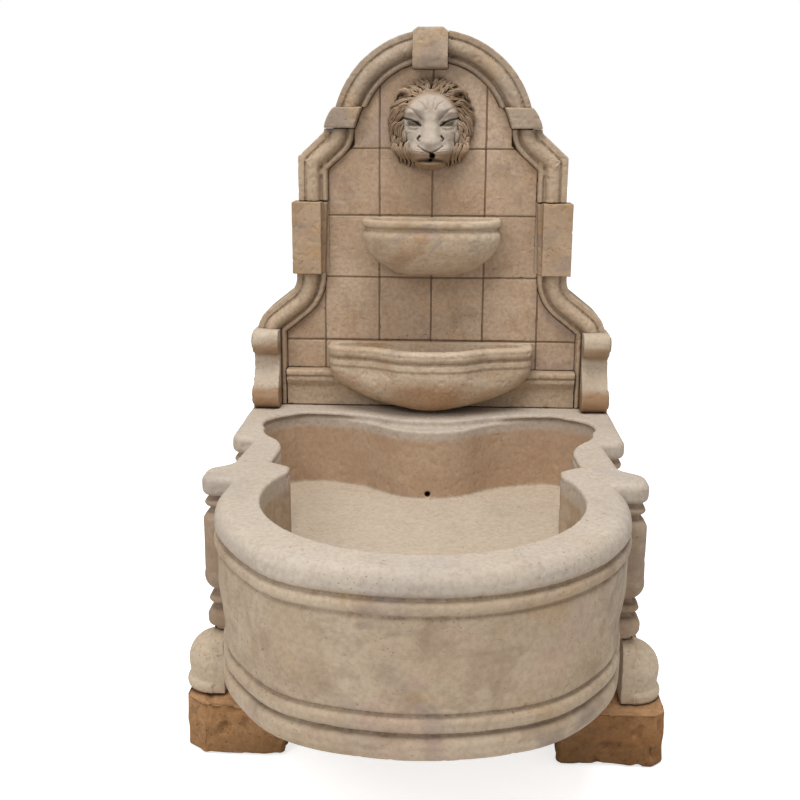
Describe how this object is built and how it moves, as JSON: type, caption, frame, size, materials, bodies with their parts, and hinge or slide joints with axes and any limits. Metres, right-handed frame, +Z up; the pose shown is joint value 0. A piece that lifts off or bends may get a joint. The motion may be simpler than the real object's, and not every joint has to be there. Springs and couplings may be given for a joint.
{
  "type": "garden wall fountain",
  "caption": "Carved stone wall fountain: an arched panel with a lion's head spout above stepped bowls and a deep basin with a round front, on rough stone blocks.",
  "frame": {"origin": "centre of the bounding box in plan, on the ground", "axes": "+X to the right seen from the front, -Y towards the viewer in front of the basin, +Z up"},
  "size_m": [1.25, 1.5028, 1.874],
  "materials": {
    "limestone": "matt, honed by hand",
    "panel_tile": "matt, sawn",
    "slab_stone": "matt, sawn",
    "warm_stone": "matt",
    "block_stone": "rough, split",
    "mask_stone": "carved, matt",
    "copper": "drawn, dull",
    "clip_plastic": "moulded",
    "pin_steel": "drawn"
  },
  "bodies": {
    "root": {"arch_left": "limestone", "arch_right": "limestone", "backing_slab": "slab_stone", "basin": "limestone", "console_left": "warm_stone", "console_right": "warm_stone", "elbow_lower": "copper", "elbow_upper": "copper", "foot_left": "limestone", "foot_right": "limestone", "impost_left": "limestone", "impost_right": "limestone", "keystone": "limestone", "lion_mask": "mask_stone", "lower_bowl": "limestone", "ogee_left": "limestone", "ogee_right": "limestone", "pins": "pin_steel", "pipe_clips": "clip_plastic", "pipe_inlet": "copper", "pipe_riser": "copper", "pipe_spout": "copper", "plaque_left": "warm_stone", "plaque_right": "warm_stone", "plinth_moulding": "limestone", "shoulder_left": "limestone", "shoulder_right": "limestone", "support_block_left": "block_stone", "support_block_right": "block_stone", "tile_r1_c1": "panel_tile", "tile_r1_c2": "panel_tile", "tile_r1_c3": "panel_tile", "tile_r1_c4": "panel_tile", "tile_r2_c1": "panel_tile", "tile_r2_c2": "panel_tile", "tile_r2_c3": "panel_tile", "tile_r2_c4": "panel_tile", "tile_r3_c1": "panel_tile", "tile_r3_c2": "panel_tile", "tile_r3_c3": "panel_tile", "tile_r3_c4": "panel_tile", "tile_r4_c1": "panel_tile", "tile_r4_c2": "panel_tile", "tile_r4_c3": "panel_tile", "tile_r4_c4": "panel_tile", "tile_r4_c5": "panel_tile", "tile_r4_c6": "panel_tile", "tile_r5_c1": "panel_tile", "tile_r5_c2": "panel_tile", "tile_r5_c3": "panel_tile", "tile_r5_c4": "panel_tile", "tile_r5_c5": "panel_tile", "tile_r5_c6": "panel_tile", "upper_bowl": "limestone"}
  },
  "joints": []
}
